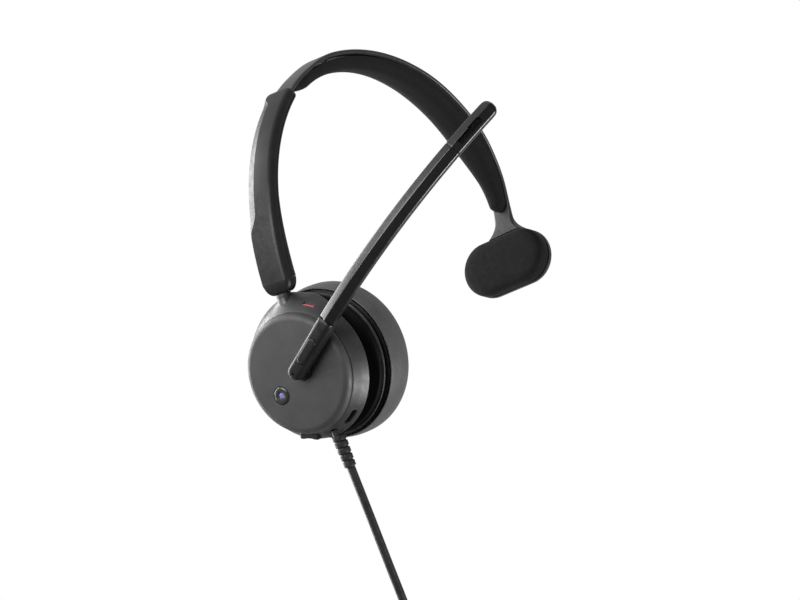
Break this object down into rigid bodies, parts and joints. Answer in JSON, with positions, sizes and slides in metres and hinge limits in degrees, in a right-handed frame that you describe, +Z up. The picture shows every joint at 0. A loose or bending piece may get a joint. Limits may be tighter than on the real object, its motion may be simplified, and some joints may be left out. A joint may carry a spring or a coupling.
{
  "type": "office headset",
  "caption": "Wired single-ear office headset with padded sprung headband, temple pad, swivelling ear cup, swinging microphone boom and a coiled cord with plug.",
  "frame": {"origin": "midway between the ear cushion face and the temple pad face, at the height of the ear cushion centre: the middle of the head that wears it", "axes": "+Z up over the head, -Y towards the wearer's front, +X from the ear cup towards the temple pad; the headband arch lies in the XZ plane"},
  "size_m": [0.1866, 0.1311, 0.357],
  "materials": {
    "frame_satin": "satin moulded plastic, fine grain",
    "pad_soft": "soft matte foam skin",
    "sleeve_satin": "satin moulded plastic, fine grain",
    "cup_body_satin": "satin moulded plastic",
    "cup_face_matte": "matte moulded plastic, fine grain",
    "boom_satin": "satin moulded plastic",
    "boom_gloss": "gloss moulded plastic",
    "ear_leather": "fine grained leatherette",
    "black_rubber": "matte rubber",
    "dark_plastic": "matte plastic",
    "cord_jacket": "matte cable jacket",
    "tie_fabric": "hook and loop strap",
    "steel": "brushed",
    "contact_gold": "plated",
    "board_green": "solder mask",
    "film_cone": "thin film",
    "busy_red": "translucent red light window",
    "status_blue": "translucent lit window"
  },
  "bodies": {
    "headband": {"headband_frame": "frame_satin", "spring_core": "steel", "headband_pad": "pad_soft", "strip_end_stop": "steel", "temple_pad": "pad_soft"},
    "sleeve": {"sleeve_outer_shell": "sleeve_satin", "sleeve_inner_shell": "sleeve_satin", "detent_leaf": "steel"},
    "cup": {"cup_body": "cup_body_satin", "cup_cover": "cup_face_matte", "cover_screw_1": "steel", "cover_screw_2": "steel", "cover_screw_3": "steel", "neck_pin": "steel", "main_board": "board_green", "busylight_lens": "busy_red", "vent_mesh": "black_rubber", "status_switch": "dark_plastic", "friction_washer": "steel", "gimbal_bracket": "dark_plastic", "strain_relief": "black_rubber", "cord": "cord_jacket", "cord_coil": "cord_jacket", "coil_tie": "tie_fabric", "cord_tail": "cord_jacket", "plug_body": "black_rubber", "plug_shell": "steel", "plug_contacts": "contact_gold"},
    "volume_rocker": {"volume_rocker": "black_rubber"},
    "status_button": {"status_button": "boom_gloss", "status_light": "status_blue"},
    "ear_pad": {"speaker_housing": "dark_plastic", "gimbal_pin_front": "steel", "gimbal_pin_rear": "steel", "baffle_plate": "dark_plastic", "driver_frame": "dark_plastic", "driver_magnet": "steel", "driver_diaphragm": "film_cone", "speaker_grille": "dark_plastic", "cushion_ring": "dark_plastic", "ear_cushion": "ear_leather"},
    "boom": {"boom_base": "boom_satin", "boom_retainer": "steel", "call_switch": "dark_plastic", "boom_arm": "boom_gloss", "boom_wire": "black_rubber", "mic_tip": "boom_gloss", "mic_grille": "black_rubber", "mic_capsule_1": "steel", "mic_capsule_2": "steel"},
    "call_button": {"call_button": "boom_satin"}
  },
  "joints": [
    {"name": "headband_extension", "type": "hinge", "parent": "headband", "child": "sleeve", "pos_m": [-0.01671, 0, 0.04369], "axis": [0, -1, 0], "range_deg": [0, 20]},
    {"name": "cup_swivel", "type": "hinge", "parent": "sleeve", "child": "cup", "pos_m": [-0.09732, 0, 0.02286], "axis": [-0.2504, 0, 0.9681], "range_deg": [-15, 90]},
    {"name": "ear_pad_tilt", "type": "hinge", "parent": "cup", "child": "ear_pad", "pos_m": [-0.08681, 0, -0.00541], "axis": [0, 1, 0], "range_deg": [-5, 5], "stiffness_Nm_per_rad": 0.25},
    {"name": "boom_swing", "type": "hinge", "parent": "cup", "child": "boom", "pos_m": [-0.09929, -0.0035, -0.0075], "axis": [0.9681, 0, 0.2504], "range_deg": [-205, 95]},
    {"name": "call_button_press", "type": "slide", "parent": "boom", "child": "call_button", "axis": [0.9681, 0, 0.2504], "range_m": [0, 0.0005], "stiffness_N_per_m": 600},
    {"name": "status_button_press", "type": "slide", "parent": "cup", "child": "status_button", "axis": [0.9681, 0, 0.2504], "range_m": [0, 0.0007], "stiffness_N_per_m": 600},
    {"name": "volume_rocker_tilt", "type": "hinge", "parent": "cup", "child": "volume_rocker", "pos_m": [-0.08731, 0.00673, -0.02825], "axis": [0.9681, 0, 0.2504], "range_deg": [-4, 4], "stiffness_Nm_per_rad": 0.02}
  ]
}
